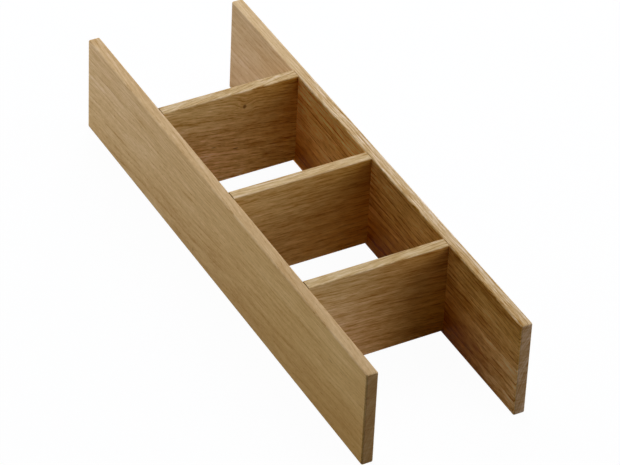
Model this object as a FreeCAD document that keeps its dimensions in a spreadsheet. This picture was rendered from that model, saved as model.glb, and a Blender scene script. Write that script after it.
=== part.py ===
import FreeCAD, Part
import os
import Sketcher

# Drawer organizer in solid oak, in millimetres.
# Two long side boards stand on edge. Three short dividers cross between them, butted against
# their inner faces, and two hidden dowels pin each end of each divider to its board.
# X runs across the boards, Y along them and Z up. The origin is on the floor, in the middle
# of the footprint.

outputFolder = "parts"

# Driving sizes, each with the words that stand beside it in the sheet
drivingSizes = {
    "organizerLength": (470, "length of the side boards"),
    "organizerWidth": (141, "width over the outer faces of the side boards"),
    "boardHeight": (87, "height of the side boards"),
    "boardThickness": (10, "thickness of the side boards"),
    "boardEase": (1.5, "radius sanded on every edge of the side boards"),
    "dividerThickness": (10, "thickness of the dividers"),
    "dividerPitch": (122, "from one divider's middle to the next one's"),
    "dividerLift": (3, "underside of the dividers above the floor"),
    "dividerEase": (1, "radius sanded on the four long edges of the dividers"),
    "dowelDiameter": (6, "diameter of the dowels over the flutes"),
    "dowelLength": (25, "length of the dowels"),
    "dowelDepth": (7, "length of a dowel inside its side board"),
    "dowelInset": (20, "from a divider's upper or lower edge to the dowel beside it"),
    "dowelChamfer": (0.6, "chamfer on the ends of the dowels"),
    "dowelFit": (0.05, "radial clearance of a dowel in its holes, filled with glue"),
    "glueRoom": (0.8, "free depth of a hole past the end of its dowel"),
    "fluteRadius": (0.3, "radius of the flutes along the dowels"),
}

# Where the dividers stand, counted in pitches from the middle
dividerStations = {"front": -1, "middle": 0, "back": 1}
boardSides = {"left": -1, "right": 1}
flutesPerDowel = 12

# Sizes that follow from the driving ones, as expressions
innerWidth = "(sizes.organizerWidth - 2 * sizes.boardThickness)"
dividerHeight = "(sizes.boardHeight - sizes.dividerLift)"
holeRadius = "sizes.dowelDiameter / 2 + sizes.dowelFit"

# Height of each dowel above the underside of its divider
dowelHeights = {
    "lower": "sizes.dowelInset",
    "upper": f"({dividerHeight} - sizes.dowelInset)",
}

doc = FreeCAD.newDocument("DrawerOrganizer")


def makeSheet():
    sheet = doc.addObject("Spreadsheet::Sheet", "sizes")
    for row, (alias, (value, meaning)) in enumerate(drivingSizes.items(), start=1):
        sheet.set(f"A{row}", meaning)
        sheet.set(f"B{row}", str(value))
        sheet.setAlias(f"B{row}", alias)
    doc.recompute()


def addBody(name):
    body = doc.addObject("PartDesign::Body", name)
    body.Label = name
    return body


def originFeature(body, role):
    return next(item for item in body.Origin.OriginFeatures if item.Role == role)


def addSketch(body, name):
    """A sketch on the body's YZ plane: its own x runs along Y and its own y along Z."""
    sketch = body.newObject("Sketcher::SketchObject", name)
    sketch.AttachmentSupport = (originFeature(body, "YZ_Plane"), "")
    sketch.MapMode = "FlatFace"
    return sketch


def nameConstraint(sketch, name, constraint, expression):
    index = sketch.addConstraint(constraint)
    sketch.renameConstraint(index, name)
    sketch.setExpression(f"Constraints.{name}", expression)


def drawStandingRectangle(sketch, width, height):
    """A rectangle that stands on the sketch's x axis, centred on its y axis."""
    corners = [FreeCAD.Vector(x, y, 0) for x, y in ((-5, 0), (5, 0), (5, 8), (-5, 8))]
    for start, end in zip(corners, corners[1:] + corners[:1]):
        sketch.addGeometry(Part.LineSegment(start, end), False)
    bottom, right, top, left = range(4)
    for first, second in ((bottom, right), (right, top), (top, left), (left, bottom)):
        sketch.addConstraint(Sketcher.Constraint("Coincident", first, 2, second, 1))
    sketch.addConstraint(Sketcher.Constraint("Horizontal", top))
    for line in (right, left):
        sketch.addConstraint(Sketcher.Constraint("Vertical", line))
    sketch.addConstraint(Sketcher.Constraint("Symmetric", bottom, 1, bottom, 2, -2))
    sketch.addConstraint(Sketcher.Constraint("PointOnObject", bottom, 1, -1))
    nameConstraint(sketch, "width", Sketcher.Constraint("DistanceX", bottom, 1, bottom, 2, 10), width)
    nameConstraint(sketch, "height", Sketcher.Constraint("DistanceY", right, 1, right, 2, 8), height)


def drawCircle(sketch, name, radius, below=None, above=None):
    """A circle whose centre is that far to the left of the y axis, if at all, and above the x axis."""
    centre = FreeCAD.Vector(-1 if below else 0, 1 if above else 0, 0)
    circle = sketch.addGeometry(Part.Circle(centre, FreeCAD.Vector(0, 0, 1), 1), False)
    nameConstraint(sketch, f"{name}Radius", Sketcher.Constraint("Radius", circle, 1), radius)
    if below:
        nameConstraint(sketch, f"{name}Below", Sketcher.Constraint("DistanceX", circle, 3, -1, 1, 1), below)
    else:
        sketch.addConstraint(Sketcher.Constraint("PointOnObject", circle, 3, -2))
    if above:
        nameConstraint(sketch, f"{name}Above", Sketcher.Constraint("DistanceY", -1, 1, circle, 3, 1), above)
    else:
        sketch.addConstraint(Sketcher.Constraint("PointOnObject", circle, 3, -1))


def edgesAlongX(shape):
    """Names of the straight edges that run along X."""
    names = []
    for index, edge in enumerate(shape.Edges, start=1):
        run = edge.lastVertex().Point - edge.firstVertex().Point
        if edge.Curve.TypeId == "Part::GeomLine" and abs(run.x) > 0.9 * run.Length:
            names.append(f"Edge{index}")
    return names


def roundEdges(shape):
    """Names of the circular edges."""
    return [
        f"Edge{index}"
        for index, edge in enumerate(shape.Edges, start=1)
        if edge.Curve.TypeId == "Part::GeomCircle"
    ]


def cutBlindHoles(body, sketch, depth):
    """Cuts the sketch's circles into the body, away from the sketch's normal."""
    solidBefore = body.Shape.Volume
    holes = body.newObject("PartDesign::Pocket", f"{body.Name}_dowel_holes")
    holes.Profile = sketch
    holes.setExpression("Length", depth)
    doc.recompute()
    if holes.Shape.Volume >= solidBefore:
        raise RuntimeError(f"the dowel holes of {body.Label} cut nothing")
    return holes


def makeSideBoard(side):
    """One side board: its inner face is the body's YZ plane, and the board lies behind it."""
    name = f"{side}_side_board"
    body = addBody(name)

    outline = addSketch(body, f"{name}_outline")
    drawStandingRectangle(outline, "sizes.organizerLength", "sizes.boardHeight")
    blank = body.newObject("PartDesign::Pad", f"{name}_blank")
    blank.Profile = outline
    blank.Reversed = True
    blank.setExpression("Length", "sizes.boardThickness")
    doc.recompute()

    easing = body.newObject("PartDesign::Fillet", f"{name}_eased_edges")
    easing.Base = (blank, ["Face1"])
    easing.UseAllEdges = True
    easing.setExpression("Radius", "sizes.boardEase")
    doc.recompute()

    drilling = addSketch(body, f"{name}_drilling")
    for level, height in dowelHeights.items():
        above = f"sizes.dividerLift + {height}"
        drawCircle(drilling, level, holeRadius, below="sizes.dividerPitch", above=above)
    holes = cutBlindHoles(body, drilling, "sizes.dowelDepth + sizes.glueRoom")

    rows = body.newObject("PartDesign::LinearPattern", f"{name}_hole_rows")
    rows.Originals = [holes]
    rows.Direction = (drilling, ["H_Axis"])
    rows.Mode = "Spacing"
    rows.Occurrences = len(dividerStations)
    rows.setExpression("Offset", "sizes.dividerPitch")
    body.Tip = rows

    # The holes look inwards, so the right board is the left one turned round
    turn = 0 if side == "left" else 180
    body.Placement = FreeCAD.Placement(FreeCAD.Vector(), FreeCAD.Rotation(FreeCAD.Vector(0, 0, 1), turn))
    body.setExpression(".Placement.Base.x", f"{boardSides[side]} * {innerWidth} / 2")
    return body


def makeDivider(station):
    """One divider: its section is drawn in the middle of the width and padded both ways."""
    name = f"{station}_divider"
    body = addBody(name)

    section = addSketch(body, f"{name}_section")
    drawStandingRectangle(section, "sizes.dividerThickness", dividerHeight)
    blank = body.newObject("PartDesign::Pad", f"{name}_blank")
    blank.Profile = section
    blank.SideType = "Symmetric"
    blank.setExpression("Length", innerWidth)
    doc.recompute()

    easing = body.newObject("PartDesign::Fillet", f"{name}_eased_edges")
    easing.Base = (blank, edgesAlongX(blank.Shape))
    easing.setExpression("Radius", "sizes.dividerEase")
    doc.recompute()

    drilling = addSketch(body, f"{name}_drilling")
    drilling.setExpression(".AttachmentOffset.Base.z", f"{innerWidth} / 2")
    for level, height in dowelHeights.items():
        drawCircle(drilling, level, holeRadius, above=height)
    holes = cutBlindHoles(body, drilling, "sizes.dowelLength - sizes.dowelDepth + sizes.glueRoom")

    otherEnd = body.newObject("PartDesign::Mirrored", f"{name}_other_end")
    otherEnd.Originals = [holes]
    otherEnd.MirrorPlane = (originFeature(body, "YZ_Plane"), [""])
    body.Tip = otherEnd

    body.setExpression(".Placement.Base.y", f"{dividerStations[station]} * sizes.dividerPitch")
    body.setExpression(".Placement.Base.z", "sizes.dividerLift")
    return body


def makeDowel(station, side, level):
    """One fluted dowel across a joint, centred on the body's origin and lying along X."""
    name = f"dowel_{station}_{side}_{level}"
    body = addBody(name)

    section = addSketch(body, f"{name}_section")
    drawCircle(section, "dowel", "sizes.dowelDiameter / 2")
    rod = body.newObject("PartDesign::Pad", f"{name}_rod")
    rod.Profile = section
    rod.SideType = "Symmetric"
    rod.setExpression("Length", "sizes.dowelLength")
    doc.recompute()

    ends = body.newObject("PartDesign::Chamfer", f"{name}_ends")
    ends.Base = (rod, roundEdges(rod.Shape))
    ends.setExpression("Size", "sizes.dowelChamfer")
    doc.recompute()

    groove = addSketch(body, f"{name}_groove")
    drawCircle(groove, "flute", "sizes.fluteRadius", above="sizes.dowelDiameter / 2")
    flute = body.newObject("PartDesign::Pocket", f"{name}_flute")
    flute.Profile = groove
    flute.SideType = "Symmetric"
    flute.Type = "ThroughAll"
    flutes = body.newObject("PartDesign::PolarPattern", f"{name}_flutes")
    flutes.Originals = [flute]
    flutes.Axis = (groove, ["N_Axis"])
    flutes.Angle = 360
    flutes.Occurrences = flutesPerDowel
    body.Tip = flutes

    fromMiddle = f"({innerWidth} / 2 + sizes.dowelDepth - sizes.dowelLength / 2)"
    body.setExpression(".Placement.Base.x", f"{boardSides[side]} * {fromMiddle}")
    body.setExpression(".Placement.Base.y", f"{dividerStations[station]} * sizes.dividerPitch")
    body.setExpression(".Placement.Base.z", f"sizes.dividerLift + {dowelHeights[level]}")
    return body


def checkDocument():
    for item in doc.Objects:
        failed = {"Invalid", "Error"} & set(item.State)
        if failed:
            raise RuntimeError(f"{item.Label} did not build: {sorted(failed)}")


def checkPiece(body):
    shape = body.Shape
    if shape.isNull() or not shape.isValid() or len(shape.Solids) != 1:
        raise RuntimeError(f"{body.Label} is not one valid solid")


makeSheet()

pieces = [makeSideBoard(side) for side in boardSides]
for station in dividerStations:
    pieces.append(makeDivider(station))
    for side in boardSides:
        for level in dowelHeights:
            pieces.append(makeDowel(station, side, level))

doc.recompute()
checkDocument()
for piece in pieces:
    checkPiece(piece)

os.makedirs(outputFolder, exist_ok=True)
for piece in pieces:
    piece.Shape.exportStep(f"{outputFolder}/{piece.Label}.step")
    box = piece.Shape.BoundBox
    print(f"{piece.Label}: {box.XLength:.1f} x {box.YLength:.1f} x {box.ZLength:.1f} mm")
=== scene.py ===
import math
import bpy
from mathutils import Matrix, Vector


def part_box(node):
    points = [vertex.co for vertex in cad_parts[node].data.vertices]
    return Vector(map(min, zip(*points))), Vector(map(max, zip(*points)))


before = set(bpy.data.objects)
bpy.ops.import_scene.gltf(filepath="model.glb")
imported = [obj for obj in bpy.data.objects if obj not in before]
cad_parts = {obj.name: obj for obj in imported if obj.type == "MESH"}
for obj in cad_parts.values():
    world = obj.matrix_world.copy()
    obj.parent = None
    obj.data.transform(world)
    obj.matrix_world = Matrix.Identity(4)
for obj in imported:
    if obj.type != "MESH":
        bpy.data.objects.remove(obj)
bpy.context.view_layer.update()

print("frame loaded:", len(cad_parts), "nodes")


# A colour as it reads on screen, 0 to 255, in the linear values that the shaders take
def screenColour(red, green, blue):
    def linear(level):
        part = level / 255
        return part / 12.92 if part <= 0.04045 else ((part + 0.055) / 1.055) ** 2.4
    return (linear(red), linear(green), linear(blue), 1)


# A socket that takes part in arithmetic: each operator adds a Math node
class Value:
    def __init__(self, shader, socket):
        self.shader = shader
        self.socket = socket

    def math(self, operation, *numbers):
        return self.shader.node("ShaderNodeMath", {"operation": operation}, dict(enumerate(numbers)))

    def __add__(self, other):
        return self.math("ADD", self, other)

    def __radd__(self, other):
        return self.math("ADD", other, self)

    def __sub__(self, other):
        return self.math("SUBTRACT", self, other)

    def __rsub__(self, other):
        return self.math("SUBTRACT", other, self)

    def __mul__(self, other):
        return self.math("MULTIPLY", self, other)

    def __rmul__(self, other):
        return self.math("MULTIPLY", other, self)

    def __truediv__(self, other):
        return self.math("DIVIDE", self, other)

    def __pow__(self, other):
        return self.math("POWER", self, other)

    def size(self):
        return self.math("ABSOLUTE", self)

    def atLeast(self, other):
        return self.math("MAXIMUM", self, other)

    def fraction(self):
        return self.math("FRACT", self)

    def whole(self):
        return self.math("FLOOR", self)

    def angleTo(self, other):
        return self.math("ARCTAN2", self, other)

    # 0 at low, 1 at high and smooth between them
    def rise(self, low, high):
        settings = {"interpolation_type": "SMOOTHSTEP"}
        ends = {"Value": self, "From Min": low, "From Max": high}
        return self.shader.node("ShaderNodeMapRange", settings, ends)

    # 1 at the middle, falling to 0 over that reach on both sides
    def near(self, middle, reach):
        return (self - middle).size().rise(reach, 0)


# The node tree of one material or world, with one way to add a node
class Shader:
    def __init__(self, tree):
        self.nodes = tree.nodes
        self.links = tree.links
        self.nodes.clear()

    def node(self, kind, settings=None, values=None, result=0):
        made = self.nodes.new(kind)
        for name, setting in (settings or {}).items():
            if name == "stops":
                self.setStops(made.color_ramp, setting)
            else:
                setattr(made, name, setting)
        for key, value in (values or {}).items():
            socket = self.pick(made.inputs, key)
            if isinstance(value, Value):
                self.links.new(value.socket, socket)
            else:
                socket.default_value = value
        if made.outputs:
            return Value(self, self.pick(made.outputs, result))

    def pick(self, sockets, key):
        if isinstance(key, int):
            return sockets[key]
        return next(socket for socket in sockets if key in (socket.identifier, socket.name))

    def setStops(self, ramp, stops):
        for _ in range(len(stops) - len(ramp.elements)):
            ramp.elements.new(1)
        for element, (place, colour) in zip(ramp.elements, stops):
            element.position = place
            element.color = colour

    # Noise from 0 to 1, centred on 0.5, one cell to each unit of its place
    def noise(self, x, y, z, detail=2, roughness=0.5):
        place = self.node("ShaderNodeCombineXYZ", {}, {0: x, 1: y, 2: z})
        values = {"Vector": place, "Scale": 1, "Detail": detail, "Roughness": roughness}
        return self.node("ShaderNodeTexNoise", {}, values)

    def mix(self, factor, first, second, blend="MIX"):
        settings = {"data_type": "RGBA", "blend_type": blend}
        values = {"Factor_Float": factor, "A_Color": first, "B_Color": second}
        return self.node("ShaderNodeMix", settings, values, "Result_Color")


# Oak as a solid: rings about a pith, pores, rays and fibres run through the whole board, so that
# its faces, edges and ends all show cuts of the same wood. Lengths are in millimetres, along,
# across and through the board from its middle.
oak = {
    "tones": [
        (0.00, screenColour(142, 86, 12)),
        (0.30, screenColour(177, 131, 64)),
        (0.60, screenColour(207, 167, 103)),
        (1.00, screenColour(236, 203, 150)),
    ],
    "markColour": screenColour(98, 54, 4),
    "ringWidth": 2.4,
    "roughness": 0.56,
    "backTint": (1.0, 1.1, 1.4, 1),
}

# Each board is one or two staves. A stave has its own pith (how far off it lies across and
# through the board) and its own tone. The slope is how the grain climbs along the board. On the
# face towards the viewer painted light and shade lighten and darken the wood between the tints,
# which are given for a place along the board, low and high. The top edge gets a painted lighter
# tint where it takes the light, and the end grain a darker tint, partly its own and partly painted
# shade. The contrast of the grain goes from its first to its second value over the stretch named
# drift. The grain's lengths are those of the fibres and of the lines.
boards = {
    "left_side_board": {
        "axes": "yzx", "seed": 3.0, "slope": (-0.025, 0.02), "seam": 20.5,
        "piths": ((-100, 200), (-70, 90)), "tones": (0.55, 0.54),
        "rings": 0.3, "streaks": 0.25, "fibres": 0.8, "gloss": 0.06,
        "paintedLightTints": (
            (-235, (0.95, 0.85, 0.65), (1.2, 1.2, 1.2)),
            (290, (1.1, 1.15, 1.45), (1.15, 1.2, 1.6)),
        ),
        "drift": (-235, 290), "contrast": (0.85, 1.1), "grain": (6, 30),
        "top": (1.1, 1.15, 1.55), "end": (0.5, 0.45, 0.45),
        "marks": ((-181, 17.5, 5, 0.8, 0.4), (43, -37, 1.6, 1.6, 0.5)),
        "knots": (),
    },
    "right_side_board": {
        "axes": "yzx", "seed": 11.0, "slope": (0.018, 0.01), "seam": 2.0,
        "piths": ((-95, 250), (-120, 235)), "tones": (0.56, 0.53),
        "rings": 0.75, "streaks": 0.85, "fibres": 1.5, "gloss": 0.03,
        "paintedLightTints": (
            (-235, (1.8, 1.8, 2.1), (1.55, 1.35, 0.85)),
            (-127, (0.85, 0.45, 0.05), (1.5, 1.4, 1.05)),
            (117, (1.1, 0.65, 0.1), (2.15, 2.15, 2.05)),
            (127, (0.9, 0.9, 1.25), (1.0, 1.1, 1.65)),
        ),
        "drift": (90, 150), "contrast": (1.15, 0.4), "grain": (8, 22),
        "top": (1.25, 1.4, 2.15), "end": (0.65, 0.65, 0.95),
        "marks": (),
        "knots": (),
    },
    "front_divider": {
        "axes": "xzy", "seed": 23.0, "slope": (-0.05, 0.02), "seam": None,
        "piths": ((-90, 120),), "tones": (0.55,),
        "rings": 0.4, "streaks": 0.5, "fibres": 1.45, "gloss": 0.04,
        "paintedLightTints": (
            (-60, (1.15, 1.1, 1.55), (0.95, 0.95, 1.05)),
            (70, (1.05, 0.75, 0.15), (0.8, 0.55, 0.25)),
        ),
        "drift": (-60, 70), "contrast": (0.95, 1.2), "grain": (8, 20),
        "top": (1.1, 1.2, 1.6), "end": (0.7, 0.7, 0.7),
        "marks": (),
        "knots": (),
    },
    "middle_divider": {
        "axes": "xzy", "seed": 31.0, "slope": (-0.05, 0.02), "seam": None,
        "piths": ((-100, -140),), "tones": (0.55,),
        "rings": 0.4, "streaks": 0.55, "fibres": 1.45, "gloss": 0.04,
        "paintedLightTints": (
            (-60, (1.3, 1.25, 1.3), (1.15, 1.15, 1.2)),
            (75, (1.2, 0.9, 0.35), (0.8, 0.6, 0.25)),
        ),
        "drift": (-60, 75), "contrast": (1.0, 1.05), "grain": (8, 20),
        "top": (1.15, 1.25, 1.7), "end": (0.7, 0.7, 0.7),
        "marks": (),
        "knots": (),
    },
    "back_divider": {
        "axes": "xzy", "seed": 47.0, "slope": (-0.12, 0.02), "seam": None,
        "piths": ((-100, 110),), "tones": (0.55,),
        "rings": 0.5, "streaks": 0.7, "fibres": 1.45, "gloss": 0.04,
        "paintedLightTints": (
            (-60, (1.7, 1.65, 2.25), (1.15, 1.2, 1.3)),
            (80, (1.35, 1.3, 0.85), (0.85, 0.6, 0.2)),
        ),
        "drift": (-60, 80), "contrast": (1.0, 1.35), "grain": (6, 14),
        "top": (1.1, 1.2, 1.65), "end": (0.7, 0.7, 0.7),
        "marks": ((5, -12.5, 2.6, 0.9, 1), (-15, -5.5, 2.8, 0.7, 0.7)),
        "knots": ((12, 27, 1.4),),
    },
}


# How far a spot on the board is from a point, where that length and width count as 1
def spread(along, across, middle, size):
    return (((along - middle[0]) / size[0]) ** 2 + ((across - middle[1]) / size[1]) ** 2) ** 0.5


def oakMaterial(name, board):
    material = bpy.data.materials.new(f"oak_{name}")
    material.use_nodes = True
    shader = Shader(material.node_tree)
    low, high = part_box(name)
    middle = (low + high) / 2
    place = shader.node("ShaderNodeTexCoord", {}, {}, "Object")
    facing = shader.node("ShaderNodeTexCoord", {}, {}, "Normal")
    spot = {}
    turn = {}
    for index, axis in enumerate("xyz"):
        spot[axis] = (shader.node("ShaderNodeSeparateXYZ", {}, {0: place}, index) - middle[index]) * 1000
        turn[axis] = shader.node("ShaderNodeSeparateXYZ", {}, {0: facing}, index)
    along, across, through = (spot[axis] for axis in board["axes"])
    seed = board["seed"]

    # The upper stave of a glued board has its own pith, tone and pattern
    pithAcross, pithThrough = board["piths"][0]
    tone = board["tones"][0]
    glue = 0
    if board["seam"] is not None:
        upper = across.rise(board["seam"] - 0.05, board["seam"] + 0.05)
        pithAcross = upper * (board["piths"][1][0] - pithAcross) + pithAcross
        pithThrough = upper * (board["piths"][1][1] - pithThrough) + pithThrough
        tone = upper * (board["tones"][1] - tone) + tone
        seed = upper * 17 + seed
        glue = across.near(board["seam"], 0.25)

    # Rings: the pith climbs and wanders a little along the board, and knots push the rings apart
    slopeAcross, slopeThrough = board["slope"]
    wander = (shader.noise(along / 160, seed, 0.5) - 0.5) * 6
    drift = (shader.noise(along / 170, 0.5, seed) - 0.5) * 5
    offAcross = across - pithAcross - along * slopeAcross + wander
    offThrough = through - pithThrough - along * slopeThrough + drift
    distance = (offAcross ** 2 + offThrough ** 2) ** 0.5
    arc = offAcross.angleTo(offThrough) * 60
    distance = distance + (shader.noise(along / 50, across / 12, through / 12 + seed) - 0.5) * 1.6
    knotWood = 0
    for knotAlong, knotAcross, radius in board["knots"]:
        reach = spread(along, across, (knotAlong, knotAcross), (radius, radius * 1.3))
        distance = distance + reach.rise(9, 0) * 3.2
        knotWood = reach.rise(1.5, 0.6)
    count = distance / oak["ringWidth"]
    count = count + shader.noise(count / 3.1, seed, 0.5) * 1.8
    phase = count.fraction()
    earlywood = phase.rise(0.45, 0) * phase.rise(0, 0.06)
    yearTone = shader.noise(count.whole() * 1.37, seed, 0.5, 0) - 0.5

    # Bands, cloudy tone, streaks, lines and fibres from coarse to fine, pores that open in the
    # earlywood, rays, and the saw's marks across the ends
    bandTone = shader.noise(distance / 8, along / 380, seed, 1) - 0.5
    fibreLength, lineLength = board["grain"]
    cloudTone = shader.noise(along / 55, across / 30, through / 30 + seed, 2) - 0.5
    streaks = shader.noise(distance / 1.5, arc / 3, along / 58 + seed, 3).rise(0.54, 0.74)
    lineTone = shader.noise(distance / 1.1, arc / 2.2, along / lineLength + seed + 5, 2, 0.6) - 0.5
    fibreTone = shader.noise(distance * 1.4, arc * 1.4, along / fibreLength + seed, 3, 0.65) - 0.5
    fineTone = shader.noise(distance * 4.5, arc * 4.5, along / 7 + seed, 2, 0.6) - 0.5
    poreField = shader.noise(distance * 3.4, arc * 3.4, along / 3.6 + seed, 1)
    pores = poreField.rise(0.58, 0.7) * (earlywood * 0.7 + 0.3)
    rayField = shader.noise(arc * 3.6, along / 5, distance / 14 + seed, 1)
    rays = rayField.rise(0.64, 0.76)
    sawTone = shader.noise(across / 2.2, through / 12, seed, 2, 0.6) - 0.5

    endFacing = turn[board["axes"][0]].size().rise(0.65, 0.95)
    drifted = along.rise(*board["drift"])
    contrast = drifted * (board["contrast"][1] - board["contrast"][0]) + board["contrast"][0]
    ringDepth = endFacing * (0.45 - board["rings"]) + board["rings"]
    ringTone = (bandTone * 0.8 + yearTone * 0.55 - earlywood * 0.3) * ringDepth
    grainTone = (lineTone * 0.6 + fibreTone * 0.45 + fineTone * 0.3) * board["fibres"]
    grainTone = grainTone * (1 - endFacing * 0.6) + sawTone * endFacing * 0.7
    streakTone = streaks * (board["streaks"] * 0.22)
    tone = tone + (ringTone + grainTone - streakTone) * contrast + cloudTone * 0.16
    tone = tone - pores * 0.22 + rays * 0.07
    colour = shader.node("ShaderNodeValToRGB", {"stops": oak["tones"]}, {0: tone})
    marks = knotWood + glue * 0.45
    for markAlong, markAcross, length, width, strength in board["marks"]:
        reach = spread(along, across, (markAlong, markAcross), (length, width))
        marks = (reach + fibreTone).rise(1.1, 0.5) * strength + marks
    colour = shader.mix(marks * 0.75, colour, oak["markColour"])

    # Painted light and shade on the faces towards the viewer: tints lighten and darken the colour along
    # the board and from low to high, as the light falls; the back keeps the wood's own tint
    climbed = across.rise(-40, 40)
    passed, lowPaintedLight, highPaintedLight = board["paintedLightTints"][0]
    tint = shader.mix(climbed, (*lowPaintedLight, 1), (*highPaintedLight, 1))
    for reached, lowPaintedLight, highPaintedLight in board["paintedLightTints"][1:]:
        nextPaintedLight = shader.mix(climbed, (*lowPaintedLight, 1), (*highPaintedLight, 1))
        tint = shader.mix(along.rise(passed, reached), tint, nextPaintedLight)
        passed = reached
    tint = shader.mix(through.rise(-2, 4), tint, oak["backTint"])
    # Painted light: the top edge is lightened where it takes the light
    tint = shader.mix(turn["z"].rise(0.25, 0.75), tint, (*board["top"], 1))
    # The end grain is darker, partly its own darker end grain and partly painted shade
    tint = shader.mix(endFacing, tint, (*board["end"], 1))
    colour = shader.node("ShaderNodeVectorMath", {"operation": "MULTIPLY"}, {0: colour, 1: tint})

    height = 0.5 - pores * 0.45 + fibreTone * 0.3 + fineTone * 0.2 - earlywood * 0.15 - marks * 0.3
    relief = {"Strength": 0.45, "Distance": 0.00006, "Height": height}
    bump = shader.node("ShaderNodeBump", {}, relief, "Normal")
    roughness = oak["roughness"] + pores * 0.2 + fibreTone * 0.12 + endFacing * 0.1
    values = {"Base Color": colour, "Roughness": roughness, "Normal": bump}
    values["Specular IOR Level"] = board["gloss"]
    surface = shader.node("ShaderNodeBsdfPrincipled", {}, values)
    shader.node("ShaderNodeOutputMaterial", {}, {"Surface": surface})
    return material


def paint(node, material):
    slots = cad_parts[node].material_slots
    if not slots:
        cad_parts[node].data.materials.append(material)
    for slot in slots:
        slot.material = material


for boardName, boardSettings in boards.items():
    paint(boardName, oakMaterial(boardName, boardSettings))
print("oak boards finished:", len(boards))

dowel = {"light": screenColour(214, 178, 132), "dark": screenColour(186, 146, 100)}


def dowelMaterial():
    material = bpy.data.materials.new("raw_dowel_wood")
    material.use_nodes = True
    shader = Shader(material.node_tree)
    place = shader.node("ShaderNodeTexCoord", {}, {}, "Object")
    x, y, z = (shader.node("ShaderNodeSeparateXYZ", {}, {0: place}, index) * 1000 for index in range(3))
    grain = shader.noise(y * 2, z * 2, x / 12, 3)
    colour = shader.mix(grain, dowel["dark"], dowel["light"])
    bump = shader.node("ShaderNodeBump", {}, {"Strength": 0.4, "Distance": 0.0001, "Height": grain}, "Normal")
    values = {"Base Color": colour, "Roughness": 0.7 + grain * 0.1, "Normal": bump}
    surface = shader.node("ShaderNodeBsdfPrincipled", {}, values)
    shader.node("ShaderNodeOutputMaterial", {}, {"Surface": surface})
    return material


dowelWood = dowelMaterial()
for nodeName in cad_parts:
    if nodeName.startswith("dowel_"):
        paint(nodeName, dowelWood)
print("dowels finished")

# A white sweep that reads white to the camera and keeps a soft shadow. To the object it is a
# grey table, so it throws little light back into the bays.
floorSettings = {
    "size": 12,
    "ownLight": 0.97,
    "white": (1, 1, 1, 1),
    "table": screenColour(175, 175, 175),
}


def makeFloor():
    reach = floorSettings["size"] / 2
    mesh = bpy.data.meshes.new("floor")
    corners = [(-reach, -reach, 0), (reach, -reach, 0), (reach, reach, 0), (-reach, reach, 0)]
    mesh.from_pydata(corners, [], [(0, 1, 2, 3)])
    floor = bpy.data.objects.new("floor", mesh)
    bpy.context.scene.collection.objects.link(floor)
    material = bpy.data.materials.new("floor_white")
    material.use_nodes = True
    shader = Shader(material.node_tree)
    seen = seenDirectly(shader)
    tint = shader.mix(seen, floorSettings["table"], floorSettings["white"])
    matt = shader.node("ShaderNodeBsdfDiffuse", {}, {"Color": tint})
    glow = shader.node("ShaderNodeEmission", {}, {"Color": floorSettings["white"], "Strength": 1.0})
    surface = shader.node("ShaderNodeMixShader", {}, {0: seen * floorSettings["ownLight"], 1: matt, 2: glow})
    shader.node("ShaderNodeOutputMaterial", {}, {"Surface": surface})
    mesh.materials.append(material)


# 1 for rays from the camera, and for those that a glossy or clear surface passes on
def seenDirectly(shader):
    kinds = ("Is Camera Ray", "Is Glossy Ray", "Is Transmission Ray")
    fromCamera, fromGloss, fromGlass = (shader.node("ShaderNodeLightPath", {}, {}, kind) for kind in kinds)
    return fromCamera.atLeast(fromGloss).atLeast(fromGlass)


world = {"tint": (1, 1, 1, 1), "strength": 0.02}


def makeWorld():
    studio = bpy.data.worlds.new("studio")
    studio.use_nodes = True
    bpy.context.scene.world = studio
    shader = Shader(studio.node_tree)
    seen = seenDirectly(shader)
    soft = shader.node("ShaderNodeBackground", {}, {"Color": world["tint"], "Strength": world["strength"]})
    white = shader.node("ShaderNodeBackground", {}, {"Color": (1, 1, 1, 1), "Strength": 1.0})
    surface = shader.node("ShaderNodeMixShader", {}, {0: seen, 1: soft, 2: white})
    shader.node("ShaderNodeOutputWorld", {}, {"Surface": surface})


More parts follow.
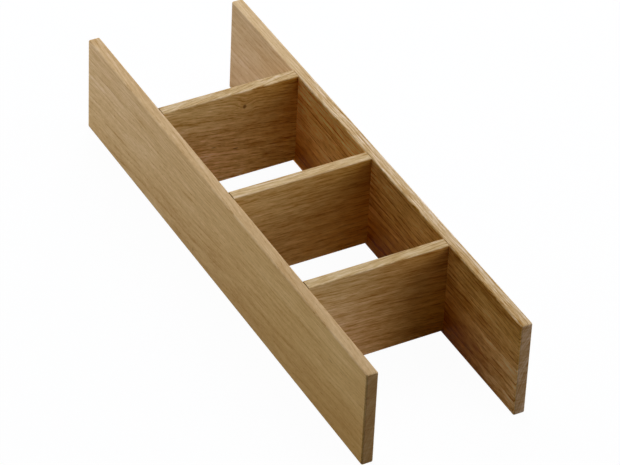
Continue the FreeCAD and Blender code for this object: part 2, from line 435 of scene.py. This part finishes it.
# Oval soft boxes, all looking at the organizer: their bearing clockwise from the far end and how
# high they stand, both in degrees, their width, height and power
softBoxes = {
    "low_behind_left": (332, 2, 1.5, 0.15, 31),
    "behind_right": (30, 35, 1.07, 1.07, 13.5),
    "high_behind": (0, 60, 1.07, 1.07, 18),
    "low_front_right": (150, 12, 1.07, 1.07, 13.5),
    "high_right": (120, 60, 1.07, 1.07, 8),
}
softBox = {"distance": 2, "tint": (0.92, 1.0, 1.15)}


def makeLamp(name, bearing, rise, width, height, power):
    light = bpy.data.lights.new(name, "AREA")
    light.shape = "ELLIPSE"
    light.size = width
    light.size_y = height
    light.energy = power
    light.color = softBox["tint"]
    lamp = bpy.data.objects.new(name, light)
    around, up = math.radians(bearing), math.radians(rise)
    toward = Vector((math.sin(around) * math.cos(up), math.cos(around) * math.cos(up), math.sin(up)))
    lamp.location = toward * softBox["distance"]
    lamp.rotation_euler = toward.to_track_quat("Z", "Y").to_euler()
    bpy.context.scene.collection.objects.link(lamp)


# The camera looks down on the organizer from its front left, slightly rolled
camera = {
    "aim": (0.00016, -0.01866, 0.0435),
    "azimuth": -29.877,
    "elevation": 37.839,
    "roll": 2.791,
    "distance": 2.9625,
    "lens": 220.24,
    "sensor": 36,
}


def makeCamera():
    azimuth, elevation, roll = (math.radians(camera[key]) for key in ("azimuth", "elevation", "roll"))
    level = math.cos(elevation)
    back = Vector((math.sin(azimuth) * level, -math.cos(azimuth) * level, math.sin(elevation)))
    right = back.cross(Vector((0, 0, -1))).normalized()
    up = back.cross(right)
    turned = Matrix((right, up, back)).transposed() @ Matrix.Rotation(roll, 3, "Z")
    lens = bpy.data.cameras.new("photo_camera")
    lens.lens = camera["lens"]
    lens.sensor_width = camera["sensor"]
    eye = bpy.data.objects.new("photo_camera", lens)
    eye.matrix_world = Matrix.Translation(Vector(camera["aim"]) + back * camera["distance"]) @ turned.to_4x4()
    bpy.context.scene.collection.objects.link(eye)
    bpy.context.scene.camera = eye


makeFloor()
makeWorld()
for boxName, boxSettings in softBoxes.items():
    makeLamp(boxName, *boxSettings)
makeCamera()
bpy.context.scene.view_settings.view_transform = "Standard"
print("studio ready")
